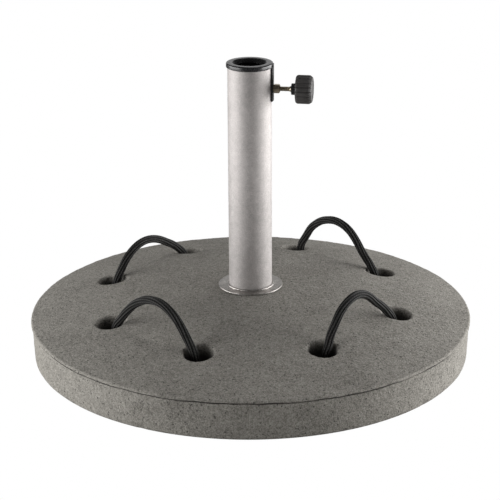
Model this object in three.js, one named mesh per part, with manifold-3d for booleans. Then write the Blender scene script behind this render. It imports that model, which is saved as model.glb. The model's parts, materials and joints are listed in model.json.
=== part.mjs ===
// Parasol base: a domed concrete disc with a pole tube bolted through its middle, a plastic insert
// with a side clamp knob at the tube's top, and four rope handles threaded through the disc.
// Millimetres, +Z up. The origin is on the floor under the middle of the disc.
import * as THREE from 'three';
import { mergeVertices } from 'three/addons/utils/BufferGeometryUtils.js';
import Module from 'manifold-3d';

const wasm = await Module();
wasm.setup();

const GAP = 0.35; // clearance between pieces that touch
const THROUGH = 1; // how far a cutter runs past the face that it opens

// Concrete disc
const DISC_RADIUS = 275;
const DISC_BASE = 3; // the underside stands this high on the foot pads
const DOME_TOP = 86.5; // height of the dome at the middle, before its flat seat
const DOME_DROP = 34.2; // fall of the dome from the middle to the rim
const RIM_ROUND = 3; // radius of the rounded top edge
const SIDE_STEP = 1.5; // the side wall stands back this far under the rounded edge
const SIDE_DRAFT = 1.5; // the side wall leans in this far from top to bottom
const BOTTOM_ROUND = 3;
const DOME_STEPS = 5;
const SEAT_RADIUS = 41.5; // flat land for the flange
const SEAT_HEIGHT = 85.7;

// Rope holes: eight round pits on one circle, joined in pairs by the rope handles
const HOLE_COUNT = 8;
const HOLE_CIRCLE = 188;
const HOLE_PHASE = THREE.MathUtils.degToRad(26.2);
const HOLE_STEP = (2 * Math.PI) / HOLE_COUNT;
const PIT_MOUTH_RADIUS = 18.5;
const PIT_FOOT_RADIUS = 14;
const PIT_DEPTH = 20;
const NECK_RADIUS = 7.5;
const NECK_DEPTH = 28.5; // below the surface, where the bowl of the pit becomes the neck
const POCKET_RADIUS = 20; // the knots sit in pockets in the underside
const POCKET_DEPTH = 24;

// Rope handles, in points (across, up) from the middle of the pair of holes and the surface at the
// holes. The ends run down through the holes. Where the rope bends over a hole's lip it lies wide or
// tight against it. The arches stand free, and each one hangs a little differently.
const ROPE_RADIUS = 5;
const ROPE_SIDES = 8;
const HINGE_LIFT = 8; // the rope folds over about a line this far above the surface
const ROPE_IN_HOLE = [[71.9, -52], [71.9, -40], [71.3, -28], [69.2, -17], [65.8, -8]];
const LIP_WIDE = [61.5, 0.5];
const LIP_TIGHT = [57.9, 3.8];
const TAIL_STOP = 6; // the tail ends this far below the fold, along the rope
const TAIL_SPACE = 2; // least step from a tail's stop to its next point
const HANDLES = [
  {
    name: 'back_right',
    lips: [LIP_TIGHT, LIP_WIDE],
    arch: [[-54.4, 8], [-47.6, 15.2], [-38.6, 26.6], [-26.8, 40.3], [-12.5, 50.2], [1, 53.4],
      [14.5, 52.3], [32, 44.6], [43.5, 34.2], [52.5, 20.6], [59.6, 8]],
  },
  {
    name: 'back_left',
    lips: [LIP_TIGHT, LIP_WIDE],
    arch: [[-53, 8], [-44.5, 14.8], [-30.6, 23.2], [-17, 30.4], [-2, 35.4], [10, 36.6],
      [22, 34.8], [34, 29.6], [46.4, 19.8], [56.2, 8]],
  },
  {
    name: 'front_left',
    lips: [LIP_WIDE, LIP_WIDE],
    arch: [[-55.4, 8], [-47.1, 18.1], [-34, 31], [-19.4, 40.4], [-4, 45.3], [8, 45.6],
      [21.7, 41.9], [34, 33.9], [46.1, 21.3], [56.3, 8]],
  },
  {
    name: 'front_right',
    lips: [LIP_WIDE, LIP_TIGHT],
    arch: [[-59, 8], [-49.2, 23], [-40, 34.8], [-29.1, 42.6], [-15, 47.2], [-3, 46.8],
      [12.3, 40.6], [28, 28.6], [46.4, 14.6], [53.3, 8]],
  },
];
const KNOT_RADIUS = 12;
const KNOT_HEIGHT = 18;

// Foot pads
const FOOT_COUNT = 4;
const FOOT_RADIUS = 18;
const FOOT_CIRCLE = 235;
const FOOT_SINK = 2; // depth of the recess that holds a pad

// Pole tube, its foot and the bolt that holds it
const TUBE_RADIUS = 26.75;
const TUBE_WALL = 1.5;
const TUBE_BORE = TUBE_RADIUS - TUBE_WALL;
const TUBE_BOTTOM = 46.3;
const TUBE_TOP = 365;
const SOCKET_RADIUS = TUBE_RADIUS + 0.45;
const SOCKET_FLOOR = TUBE_BOTTOM - GAP;
const PLUG_THREAD_RADIUS = 6.3;
const CUP_FLOOR = 90.5; // the pole stands on this face of the plug, just above the disc
const CUP_TOP = 114;
const CUP_LEAD_IN = 8;
const CUP_RADIUS = 17.3;
const BOLT_RADIUS = 5.9;
const BOLT_END = 62;
const BOLT_HEAD_FLATS = 19;
const BOLT_HEAD_HEIGHT = 7.5;
const BOLT_HOLE_RADIUS = 6.6;
const COUNTERBORE_RADIUS = 32;
const COUNTERBORE_ROOF = 24;
const WASHER_RADIUS = 28;
const WASHER_THICK = 3;
const SPRING_WASHER_RADIUS = 10.5;
const SPRING_WASHER_THICK = 2.5;

// Flange round the tube's foot
const FLANGE_RADIUS = 40;
const FLANGE_THICK = 1.8;
const COLLAR_RADIUS = 29.3;
const COLLAR_HEIGHT = 1.2;

// Top insert and the clamp
const RIM_RADIUS = 28.3;
const RIM_HEIGHT = 5.6;
const RIM_TOP = TUBE_TOP + GAP + RIM_HEIGHT;
const POLE_BORE = 17.5;
const LEAD_IN_RADIUS = 20.8;
const LEAD_IN_DEPTH = 4;
const SLEEVE_WALL = 2.5;
const SLEEVE_LENGTH = 72;
const INSERT_RIBS = 4;
const RIB_THICK = 2.5;
const TONGUE_INNER = TUBE_RADIUS + GAP;
const TONGUE_OUTER = 29.4;
const TONGUE_HALF_ANGLE = THREE.MathUtils.degToRad(15);
const TONGUE_BOTTOM = 324;
const CLAMP_AZIMUTH = THREE.MathUtils.degToRad(-9);
const CLAMP_HEIGHT = 339.4;
const BOSS_WIDTH = 16;
const BOSS_HEIGHT = 24;
const BOSS_CLEARANCE = 1.6;
const NUT_FLATS = 10;
const NUT_INNER = TONGUE_OUTER + GAP;
const NUT_OUTER = 36.8;
const NUT_SHANK_RADIUS = 4.5;
const SCREW_RADIUS = 2.95;
const SHOULDER_RADIUS = 3.3;
const SHOULDER_START = 48.6;
const HUB_START = 50.8;
const HUB_RADIUS = 7;
const HUB_SPIGOT_RADIUS = 9;
const HUB_SPIGOT_END = 68;
const KNOB_START = 55.4;
const KNOB_LENGTH = 21.8;
const KNOB_RADIUS = 17.3;
const KNOB_FLUTES = 12;
const KNOB_FLUTE_DEPTH = 1.1;
const KNOB_END_ROUND = 2.2;
const PAD_RADIUS = 4;
const PAD_TIP = 17.8; // just clear of the pole bore when the screw is backed off
const PAD_LENGTH = 4;

const ROUND_SIDES = 36;

// ---- materials

const finish = (color, roughness, metalness) =>
  new THREE.MeshStandardMaterial({ color, roughness, metalness });
const concrete = () => finish(0x77746d, 0.95, 0);
const steel = () => finish(0xb9b5b0, 0.35, 1);
const plated = () => finish(0x8d8473, 0.4, 1);
const blackPlastic = () => finish(0x1d1e1f, 0.35, 0);
const greyPlastic = () => finish(0x474444, 0.6, 0);
const rubber = () => finish(0x262626, 0.9, 0);
const rope = () => finish(0x2f302f, 0.8, 0);

// ---- closed solids and booleans

// Merges a geometry's shared vertices, drops empty triangles and turns its faces outwards.
function closed(geometry) {
  const bare = geometry.clone();
  for (const name of Object.keys(bare.attributes)) if (name !== 'position') bare.deleteAttribute(name);
  const merged = mergeVertices(bare, 1e-3);
  const index = merged.index.array;
  const triangles = [];
  for (let i = 0; i < index.length; i += 3) {
    const [a, b, c] = [index[i], index[i + 1], index[i + 2]];
    if (a !== b && b !== c && c !== a) triangles.push([a, b, c]);
  }
  const corner = (i) => new THREE.Vector3().fromBufferAttribute(merged.attributes.position, i);
  const volume = triangles.reduce(
    (sum, [a, b, c]) => sum + corner(a).dot(corner(b).cross(corner(c))), 0);
  if (volume < 0) for (const t of triangles) t.reverse();
  merged.setIndex(triangles.flat());
  return merged;
}

function toSolid(geometry) {
  const g = closed(geometry);
  return new wasm.Manifold(new wasm.Mesh({
    numProp: 3,
    vertProperties: new Float32Array(g.attributes.position.array),
    triVerts: new Uint32Array(g.index.array),
  }));
}

function toGeometry(solid) {
  const mesh = solid.getMesh();
  const geometry = new THREE.BufferGeometry();
  geometry.setAttribute('position', new THREE.BufferAttribute(mesh.vertProperties, 3));
  geometry.setIndex(new THREE.BufferAttribute(mesh.triVerts, 1));
  return geometry;
}

const join = (geometries) =>
  toGeometry(geometries.map(toSolid).reduce((whole, piece) => whole.add(piece)));
const cut = (geometry, cutters) =>
  toGeometry(cutters.map(toSolid).reduce((whole, piece) => whole.subtract(piece), toSolid(geometry)));

// A body of revolution about +Z. The profile is a list of [radius, height].
function turned(profile, sides = ROUND_SIDES) {
  const points = profile.map(([r, z]) => new THREE.Vector2(r, z));
  return new THREE.LatheGeometry(points, sides).rotateX(Math.PI / 2);
}

const rod = (radius, low, high, sides = ROUND_SIDES) =>
  turned([[0, low], [radius, low], [radius, high], [0, high]], sides);

const ring = (inner, outer, low, high, sides = ROUND_SIDES) =>
  turned([[inner, low], [outer, low], [outer, high], [inner, high], [inner, low]], sides);

// Points of a quarter-round edge about a centre, from one angle to another, in degrees.
function roundEdge(centreR, centreZ, radius, from, to, steps) {
  const points = [];
  for (let i = 0; i <= steps; i += 1) {
    const a = THREE.MathUtils.degToRad(from + ((to - from) * i) / steps);
    points.push([centreR + radius * Math.cos(a), centreZ + radius * Math.sin(a)]);
  }
  return points;
}

// A hexagonal prism along +Z whose corners are clipped by a cone at the top.
function hexHead(acrossFlats, low, high) {
  const shape = new THREE.Shape();
  for (let i = 0; i < 6; i += 1) {
    const a = (i * Math.PI) / 3;
    const r = acrossFlats / 2 / Math.cos(Math.PI / 6);
    if (i === 0) shape.moveTo(r * Math.cos(a), r * Math.sin(a));
    else shape.lineTo(r * Math.cos(a), r * Math.sin(a));
  }
  shape.closePath();
  const prism = new THREE.ExtrudeGeometry(shape, { depth: high - low, bevelEnabled: false });
  const corner = acrossFlats / 2 / Math.cos(Math.PI / 6);
  const cone = turned([
    [0, low - THROUGH],
    [corner + 1, low - THROUGH],
    [corner + 1, high - 1],
    [acrossFlats / 2, high + 0.01],
    [0, high + 0.01],
  ], 36);
  return toGeometry(toSolid(prism.translate(0, 0, low)).intersect(toSolid(cone)));
}

// The clamp's own frame has +Z outwards along the screw, from the tube's axis.
const clamp = new THREE.Group();
clamp.position.set(0, 0, CLAMP_HEIGHT);
clamp.rotation.set(0, Math.PI / 2, CLAMP_AZIMUTH, 'ZYX');
clamp.updateMatrixWorld(true);

// A cutter made in the clamp's frame, moved to the base's frame.
const alongClamp = (geometry) => geometry.applyMatrix4(clamp.matrixWorld);

// ---- concrete disc

const domeHeight = (r) => DOME_TOP - DOME_DROP * (r / DISC_RADIUS) ** 2;
const holeAngle = (i) => HOLE_PHASE + i * HOLE_STEP;
const polar = (radius, angle) => [radius * Math.cos(angle), radius * Math.sin(angle)];
const SURFACE_AT_HOLES = domeHeight(HOLE_CIRCLE);

function discBody() {
  const roundCentre = DISC_RADIUS - RIM_ROUND;
  const roundHeight = domeHeight(roundCentre) - RIM_ROUND;
  const side = DISC_RADIUS - SIDE_STEP;
  const foot = side - SIDE_DRAFT;
  const dome = [];
  for (let i = 0; i <= DOME_STEPS; i += 1) {
    const r = SEAT_RADIUS + 1.5 + ((roundCentre - SEAT_RADIUS - 1.5) * i) / DOME_STEPS;
    dome.push([r, domeHeight(r)]);
  }
  return turned([
    [0, SEAT_HEIGHT],
    [SEAT_RADIUS, SEAT_HEIGHT],
    ...dome,
    ...roundEdge(roundCentre, roundHeight, RIM_ROUND, 60, 0, 2),
    [side, roundHeight - 0.8],
    [foot, DISC_BASE + BOTTOM_ROUND],
    [foot - BOTTOM_ROUND * 0.3, DISC_BASE + BOTTOM_ROUND * 0.3],
    [foot - BOTTOM_ROUND, DISC_BASE],
    [0, DISC_BASE],
  ], 80);
}

// The pit, neck and pocket of one rope hole, as one cutter.
function holeCutter(i) {
  const s = SURFACE_AT_HOLES;
  const roof = DISC_BASE + POCKET_DEPTH;
  const [x, y] = polar(HOLE_CIRCLE, holeAngle(i));
  return turned([
    [0, s + 8],
    [PIT_MOUTH_RADIUS + 0.5, s + 8],
    [PIT_MOUTH_RADIUS, s - 2],
    [PIT_FOOT_RADIUS, s - PIT_DEPTH],
    [NECK_RADIUS, s - NECK_DEPTH],
    [NECK_RADIUS, roof],
    [POCKET_RADIUS, roof],
    [POCKET_RADIUS, DISC_BASE - THROUGH],
    [0, DISC_BASE - THROUGH],
  ], 16).translate(x, y, 0);
}

function concreteDisc() {
  const centre = turned([
    [0, SEAT_HEIGHT + THROUGH],
    [SOCKET_RADIUS, SEAT_HEIGHT + THROUGH],
    [SOCKET_RADIUS, SOCKET_FLOOR],
    [BOLT_HOLE_RADIUS, SOCKET_FLOOR],
    [BOLT_HOLE_RADIUS, COUNTERBORE_ROOF],
    [COUNTERBORE_RADIUS, COUNTERBORE_ROOF],
    [COUNTERBORE_RADIUS, DISC_BASE - THROUGH],
    [0, DISC_BASE - THROUGH],
  ]);
  const cutters = [centre];
  for (let i = 0; i < HOLE_COUNT; i += 1) cutters.push(holeCutter(i));
  for (let i = 0; i < FOOT_COUNT; i += 1) {
    const [x, y] = footPlace(i);
    const recess = rod(FOOT_RADIUS + GAP, DISC_BASE - THROUGH, DISC_BASE + FOOT_SINK, 20);
    cutters.push(recess.translate(x, y, 0));
  }
  return cut(discBody(), cutters);
}

const footPlace = (i) => polar(FOOT_CIRCLE, holeAngle(0.5) + (i * 2 * Math.PI) / FOOT_COUNT);

function footPad() {
  const top = DISC_BASE + FOOT_SINK - GAP;
  const pad = turned([[0, 0], [FOOT_RADIUS - 1, 0], [FOOT_RADIUS, 1], [FOOT_RADIUS, top], [0, top]], 20);
  return closed(pad);
}

// ---- tube, flange and fixings

function poleTube() {
  const body = ring(TUBE_BORE, TUBE_RADIUS, TUBE_BOTTOM, TUBE_TOP, 40);
  const hole = rod(NUT_SHANK_RADIUS + GAP, TUBE_BORE - 4, TUBE_RADIUS + 4, 20);
  return cut(body, [alongClamp(hole)]);
}

function baseFlange() {
  const low = SEAT_HEIGHT + GAP;
  const top = low + FLANGE_THICK;
  const collarTop = top + COLLAR_HEIGHT;
  const inner = TUBE_RADIUS + GAP;
  return closed(turned([
    [inner, low],
    [FLANGE_RADIUS - 0.4, low],
    [FLANGE_RADIUS, low + 0.6],
    ...roundEdge(FLANGE_RADIUS - 0.9, top - 0.9, 0.9, 0, 90, 2),
    [COLLAR_RADIUS + 0.5, top],
    [COLLAR_RADIUS, top + 0.5],
    ...roundEdge(COLLAR_RADIUS - 0.6, collarTop - 0.6, 0.6, 0, 90, 2),
    [inner, collarTop],
    [inner, low],
  ]));
}

// The plug is threaded for the bolt from below and hollowed into a cup for the pole above.
function footPlug() {
  const outer = TUBE_BORE - GAP;
  const body = turned([
    [0, TUBE_BOTTOM],
    [outer, TUBE_BOTTOM],
    [outer, CUP_TOP - 1.5],
    [outer - 1.5, CUP_TOP],
    [outer - 2.5, CUP_TOP],
    [CUP_RADIUS, CUP_TOP - CUP_LEAD_IN],
    [CUP_RADIUS, CUP_FLOOR],
    [0, CUP_FLOOR],
  ], 32);
  return cut(body, [rod(PLUG_THREAD_RADIUS, TUBE_BOTTOM - THROUGH, BOLT_END + 1.5, 20)]);
}

function fixingBolt() {
  const headTop = springWasherLow() - GAP;
  const headLow = headTop - BOLT_HEAD_HEIGHT;
  const head = hexHead(BOLT_HEAD_FLATS, -headTop, -headLow).rotateX(Math.PI);
  return join([head, rod(BOLT_RADIUS, headTop - 1, BOLT_END, 24)]);
}

const washerLow = () => COUNTERBORE_ROOF - GAP - WASHER_THICK;
const springWasherLow = () => washerLow() - GAP - SPRING_WASHER_THICK;

function fixingWasher() {
  return closed(ring(BOLT_HOLE_RADIUS, WASHER_RADIUS, washerLow(), washerLow() + WASHER_THICK));
}

function springWasher() {
  const low = springWasherLow();
  const body = ring(PLUG_THREAD_RADIUS, SPRING_WASHER_RADIUS, low, low + SPRING_WASHER_THICK, 32);
  const split = new THREE.BoxGeometry(SPRING_WASHER_RADIUS + 2, 1.2, SPRING_WASHER_THICK * 3)
    .rotateX(0.4)
    .translate(SPRING_WASHER_RADIUS / 2 + 1, 0, low + SPRING_WASHER_THICK / 2);
  return cut(body, [split]);
}

// ---- top insert and clamp

// A wall that follows the tube's outside over the tongue's angle.
function tongueWall(inner, outer, halfAngle, low, high) {
  const shape = new THREE.Shape();
  const start = CLAMP_AZIMUTH - halfAngle;
  const end = CLAMP_AZIMUTH + halfAngle;
  shape.absarc(0, 0, outer, start, end, false);
  shape.absarc(0, 0, inner, end, start, true);
  shape.closePath();
  const wall = new THREE.ExtrudeGeometry(shape, {
    depth: high - low, bevelEnabled: false, curveSegments: 6,
  });
  return wall.translate(0, 0, low);
}

// A block on the sleeve that reaches out to the given clearance from the tube's bore.
function insertBlock(width, clearance, low, high, turn) {
  const start = POLE_BORE + 1;
  const reach = TUBE_BORE - clearance - start;
  return new THREE.BoxGeometry(reach, width, high - low)
    .translate(start + reach / 2, 0, (low + high) / 2)
    .rotateZ(CLAMP_AZIMUTH + turn);
}

function topInsert() {
  const rimLow = TUBE_TOP + GAP;
  const sleeveOuter = POLE_BORE + SLEEVE_WALL;
  const sleeveLow = TUBE_TOP - SLEEVE_LENGTH;
  const sleeve = turned([
    [POLE_BORE, sleeveLow],
    [sleeveOuter, sleeveLow],
    [sleeveOuter, TUBE_TOP - 2],
    [TUBE_BORE - GAP, TUBE_TOP - 2],
    [TUBE_BORE - GAP, rimLow],
    [RIM_RADIUS - 0.5, rimLow],
    [RIM_RADIUS, rimLow + 0.5],
    ...roundEdge(RIM_RADIUS - 1.4, RIM_TOP - 1.4, 1.4, 0, 90, 3),
    [LEAD_IN_RADIUS + 0.8, RIM_TOP],
    [LEAD_IN_RADIUS, RIM_TOP - 0.6],
    [POLE_BORE, RIM_TOP - 0.6 - LEAD_IN_DEPTH],
    [POLE_BORE, sleeveLow],
  ]);
  const pieces = [sleeve];
  for (let i = 0; i < INSERT_RIBS; i += 1) {
    const turn = ((i + 0.5) * 2 * Math.PI) / INSERT_RIBS;
    pieces.push(insertBlock(RIB_THICK, GAP + 0.2, sleeveLow, TUBE_TOP - 1, turn));
  }
  const bossLow = CLAMP_HEIGHT - BOSS_HEIGHT / 2;
  pieces.push(insertBlock(BOSS_WIDTH, BOSS_CLEARANCE, bossLow, bossLow + BOSS_HEIGHT, 0));
  pieces.push(tongueWall(TONGUE_INNER, TONGUE_OUTER, TONGUE_HALF_ANGLE, TONGUE_BOTTOM, rimLow + 1));
  pieces.push(tongueWall(RIM_RADIUS - 3, TONGUE_OUTER, TONGUE_HALF_ANGLE, rimLow, RIM_TOP - 1.2));
  const padHole = rod(PAD_RADIUS + 0.5, POLE_BORE - 4, TUBE_BORE, 24);
  const shankHole = rod(NUT_SHANK_RADIUS + GAP, TUBE_BORE, TONGUE_OUTER + 2, 20);
  return cut(join(pieces), [alongClamp(padHole), alongClamp(shankHole)]);
}

function clampNut() {
  const head = hexHead(NUT_FLATS, NUT_INNER, NUT_OUTER);
  const shank = rod(NUT_SHANK_RADIUS, TUBE_BORE + 0.1, NUT_INNER + 1, 20);
  const bore = rod(SCREW_RADIUS + GAP, TUBE_BORE - 2, NUT_OUTER + 2, 20);
  return cut(join([head, shank]), [bore]);
}

function clampScrew() {
  const end = HUB_SPIGOT_END - 6;
  return closed(turned([
    [0, PAD_TIP + PAD_LENGTH + GAP],
    [SCREW_RADIUS - 0.6, PAD_TIP + PAD_LENGTH + GAP],
    [SCREW_RADIUS, PAD_TIP + PAD_LENGTH + GAP + 0.6],
    [SCREW_RADIUS, SHOULDER_START],
    [SHOULDER_RADIUS, SHOULDER_START + 0.3],
    [SHOULDER_RADIUS, end],
    [0, end],
  ], 20));
}

function pressurePad() {
  return closed(turned([
    [0, PAD_TIP],
    [PAD_RADIUS - 0.8, PAD_TIP],
    [PAD_RADIUS, PAD_TIP + 0.8],
    [PAD_RADIUS, PAD_TIP + PAD_LENGTH],
    [0, PAD_TIP + PAD_LENGTH],
  ], 20));
}

function knobHub() {
  const body = turned([
    [0, HUB_START],
    [HUB_RADIUS - 0.5, HUB_START],
    [HUB_RADIUS, HUB_START + 0.5],
    [HUB_RADIUS, KNOB_START + 2],
    [HUB_SPIGOT_RADIUS, KNOB_START + 2],
    [HUB_SPIGOT_RADIUS, HUB_SPIGOT_END],
    [0, HUB_SPIGOT_END],
  ], 28);
  const bore = rod(SHOULDER_RADIUS + GAP, HUB_START - THROUGH, HUB_SPIGOT_END - 6 + GAP, 20);
  return cut(body, [bore]);
}

// The grip's outline has shallow flutes, and is drawn in at both ends.
function knobGrip() {
  const outline = (inset) => {
    const points = [];
    const steps = KNOB_FLUTES * 5;
    for (let i = 0; i < steps; i += 1) {
      const a = (i * 2 * Math.PI) / steps;
      const valley = 0.5 - 0.5 * Math.cos(KNOB_FLUTES * a);
      const r = KNOB_RADIUS - inset - KNOB_FLUTE_DEPTH * valley ** 2;
      points.push(new THREE.Vector2(r * Math.cos(a), r * Math.sin(a)));
    }
    return new THREE.Shape(points);
  };
  const core = KNOB_LENGTH - 2 * KNOB_END_ROUND;
  const body = new THREE.ExtrudeGeometry(outline(KNOB_END_ROUND), {
    depth: core,
    bevelEnabled: true,
    bevelThickness: KNOB_END_ROUND,
    bevelSize: KNOB_END_ROUND,
    bevelSegments: 2,
  }).translate(0, 0, KNOB_START + KNOB_END_ROUND);
  const seat = turned([
    [0, KNOB_START - THROUGH],
    [HUB_RADIUS + GAP, KNOB_START - THROUGH],
    [HUB_RADIUS + GAP, KNOB_START + 2 - GAP],
    [HUB_SPIGOT_RADIUS + GAP, KNOB_START + 2 - GAP],
    [HUB_SPIGOT_RADIUS + GAP, HUB_SPIGOT_END + GAP],
    [0, HUB_SPIGOT_END + GAP],
  ], 28);
  return cut(body, [seat]);
}

// ---- rope handles

// Places a point given across, up and outwards from a handle's middle.
function handlePoint(index, across, up) {
  const angle = holeAngle(2 * index + 0.5);
  const middle = HOLE_CIRCLE * Math.cos(HOLE_STEP / 2);
  const [x, y] = polar(middle, angle);
  return new THREE.Vector3(
    x - across * Math.sin(angle),
    y + across * Math.cos(angle),
    SURFACE_AT_HOLES + up,
  );
}

function ropeTube(points, steps) {
  const section = new THREE.Shape();
  for (let i = 0; i < ROPE_SIDES; i += 1) {
    const [x, y] = polar(ROPE_RADIUS, (i * 2 * Math.PI) / ROPE_SIDES);
    if (i === 0) section.moveTo(x, y);
    else section.lineTo(x, y);
  }
  section.closePath();
  const path = new THREE.CatmullRomCurve3(points);
  return new THREE.ExtrudeGeometry(section, { steps, extrudePath: path, bevelEnabled: false });
}

const archPoints = (index) => HANDLES[index].arch.map(([u, w]) => handlePoint(index, u, w));

function ropeArch(index) {
  const points = archPoints(index);
  const pieces = [ropeTube(points, 22)];
  for (const end of [points[0], points[points.length - 1]]) {
    pieces.push(new THREE.SphereGeometry(ROPE_RADIUS, 10, 6).translate(end.x, end.y, end.z));
  }
  return join(pieces);
}

// The rope's end inside its hole, with the knot that holds it under the disc.
function ropeTail(index, side) {
  const points = archPoints(index);
  const fold = side < 0 ? points[0] : points[points.length - 1];
  const lip = HANDLES[index].lips[side < 0 ? 0 : 1];
  const route = [...ROPE_IN_HOLE, lip].map(([u, w]) => handlePoint(index, side * u, w));
  const last = route[route.length - 1];
  const stop = fold.clone().add(last.clone().sub(fold).setLength(TAIL_STOP));
  if (last.distanceTo(fold) < TAIL_STOP + TAIL_SPACE) route.pop();
  route.push(stop);
  const knotTop = DISC_BASE + POCKET_DEPTH - GAP;
  const knot = new THREE.SphereGeometry(KNOT_RADIUS, 12, 7)
    .scale(1, 1, KNOT_HEIGHT / 2 / KNOT_RADIUS)
    .translate(route[0].x, route[0].y, knotTop - KNOT_HEIGHT / 2);
  return join([ropeTube(route, 8), knot]);
}

// ---- assembly

const base = new THREE.Group();
const handles = new THREE.Group();
base.add(clamp, handles);

function place(group, name, geometry, material) {
  const mesh = new THREE.Mesh(geometry, material);
  mesh.name = name;
  group.add(mesh);
  return mesh;
}

place(base, 'concrete_disc', concreteDisc(), concrete());
for (let i = 0; i < FOOT_COUNT; i += 1) {
  const [x, y] = footPlace(i);
  place(base, `foot_pad_${i + 1}`, footPad(), rubber()).position.set(x, y, 0);
}
place(base, 'pole_tube', poleTube(), steel());
place(base, 'base_flange', baseFlange(), steel());
place(base, 'tube_foot_plug', footPlug(), plated());
place(base, 'fixing_bolt', fixingBolt(), plated());
place(base, 'fixing_washer', fixingWasher(), plated());
place(base, 'spring_washer', springWasher(), plated());
place(base, 'top_insert', topInsert(), blackPlastic());
place(clamp, 'clamp_nut', clampNut(), plated());
place(clamp, 'clamp_screw', clampScrew(), plated());
place(clamp, 'pressure_pad', pressurePad(), blackPlastic());
place(clamp, 'knob_hub', knobHub(), blackPlastic());
place(clamp, 'knob_grip', knobGrip(), greyPlastic());
HANDLES.forEach(({ name }, index) => {
  place(handles, `rope_arch_${name}`, ropeArch(index), rope());
  place(handles, `rope_end_${name}_a`, ropeTail(index, -1), rope());
  place(handles, `rope_end_${name}_b`, ropeTail(index, 1), rope());
});

export default base;
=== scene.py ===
import json
import math

import bmesh
import bpy
import numpy as np
from mathutils import Matrix, Vector
from mathutils.geometry import delaunay_2d_cdt


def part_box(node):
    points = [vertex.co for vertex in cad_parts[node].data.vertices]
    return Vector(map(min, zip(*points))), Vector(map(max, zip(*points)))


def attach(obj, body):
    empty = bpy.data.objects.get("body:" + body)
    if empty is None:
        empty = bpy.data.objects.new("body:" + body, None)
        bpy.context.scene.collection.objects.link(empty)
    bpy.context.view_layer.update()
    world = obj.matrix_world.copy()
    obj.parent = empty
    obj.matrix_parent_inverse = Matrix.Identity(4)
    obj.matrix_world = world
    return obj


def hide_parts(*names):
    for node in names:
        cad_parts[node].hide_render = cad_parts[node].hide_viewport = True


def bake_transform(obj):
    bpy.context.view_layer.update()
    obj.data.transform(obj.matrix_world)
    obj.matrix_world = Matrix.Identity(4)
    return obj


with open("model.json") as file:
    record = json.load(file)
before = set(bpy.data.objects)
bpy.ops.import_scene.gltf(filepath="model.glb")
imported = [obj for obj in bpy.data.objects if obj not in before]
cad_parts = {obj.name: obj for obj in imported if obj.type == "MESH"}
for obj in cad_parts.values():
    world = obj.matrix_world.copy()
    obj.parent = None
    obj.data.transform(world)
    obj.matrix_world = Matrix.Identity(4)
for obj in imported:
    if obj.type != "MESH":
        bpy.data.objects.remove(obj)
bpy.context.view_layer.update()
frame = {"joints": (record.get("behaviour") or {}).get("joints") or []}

MM = 0.001
TAU = 2 * math.pi
GAP = 0.35 * MM  # between parts that meet in the object
scene = bpy.context.scene
random = np.random.default_rng(7)
joints = {joint["name"]: joint for joint in frame["joints"]}


def placed(name, data):
    """A new object in the scene, which shows the data."""
    thing = bpy.data.objects.new(name, data)
    scene.collection.objects.link(thing)
    return thing


# ---- camera

CAMERA_PLACE = Vector((-0.0063, -1.9678, 0.8436))
CAMERA_TURN = math.radians(-0.17)
CAMERA_DOWN = math.radians(19.892)
CAMERA_ROLL = math.radians(-0.274)
CAMERA_LENS = 120.95


def make_camera():
    data = bpy.data.cameras.new("camera")
    data.lens = CAMERA_LENS
    data.sensor_width = 36
    data.clip_end = 20
    camera = placed("camera", data)
    turn = Matrix.Rotation(CAMERA_TURN, 4, "Z")
    tilt = Matrix.Rotation(math.pi / 2 - CAMERA_DOWN, 4, "X")
    roll = Matrix.Rotation(CAMERA_ROLL, 4, "Z")
    camera.matrix_world = Matrix.Translation(CAMERA_PLACE) @ turn @ tilt @ roll
    scene.camera = camera


# ---- meshes

class Shell:
    """Collects loops of points, and the faces between them, for one closed mesh."""

    def __init__(self):
        self.points = []
        self.faces = []

    def loop(self, points):
        start = len(self.points)
        self.points.extend(tuple(map(float, point)) for point in points)
        return list(range(start, len(self.points)))

    def bridge(self, a, b):
        """Joins two loops: of one length, or where one is a single point."""
        if len(a) == 1 or len(b) == 1:
            tip, rim = (a[0], b) if len(a) == 1 else (b[0], a)
            self.faces += [(rim[i - 1], rim[i], tip) for i in range(len(rim))]
            return
        self.faces += [(a[i - 1], a[i], b[i], b[i - 1]) for i in range(len(a))]

    def halve(self, fine, coarse):
        """Joins a loop to one with half as many points."""
        count = len(coarse)
        for i in range(count):
            here, ahead = coarse[i], coarse[(i + 1) % count]
            left, middle, right = fine[2 * i], fine[2 * i + 1], fine[(2 * i + 2) % (2 * count)]
            self.faces += [(left, middle, here), (middle, ahead, here), (middle, right, ahead)]

    def chain(self, loops, closed=False):
        for a, b in zip(loops, loops[1:]):
            self.bridge(a, b)
        if closed:
            self.bridge(loops[-1], loops[0])

    def mesh(self):
        """The mesh, less the points that no face uses, and with its faces turned outwards."""
        mesh = bpy.data.meshes.new("shell")
        mesh.from_pydata(self.points, [], self.faces)
        work = bmesh.new()
        work.from_mesh(mesh)
        loose = [vertex for vertex in work.verts if not vertex.link_faces]
        bmesh.ops.delete(work, geom=loose, context="VERTS")
        bmesh.ops.recalc_face_normals(work, faces=work.faces)
        work.to_mesh(mesh)
        work.free()
        return mesh


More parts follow.
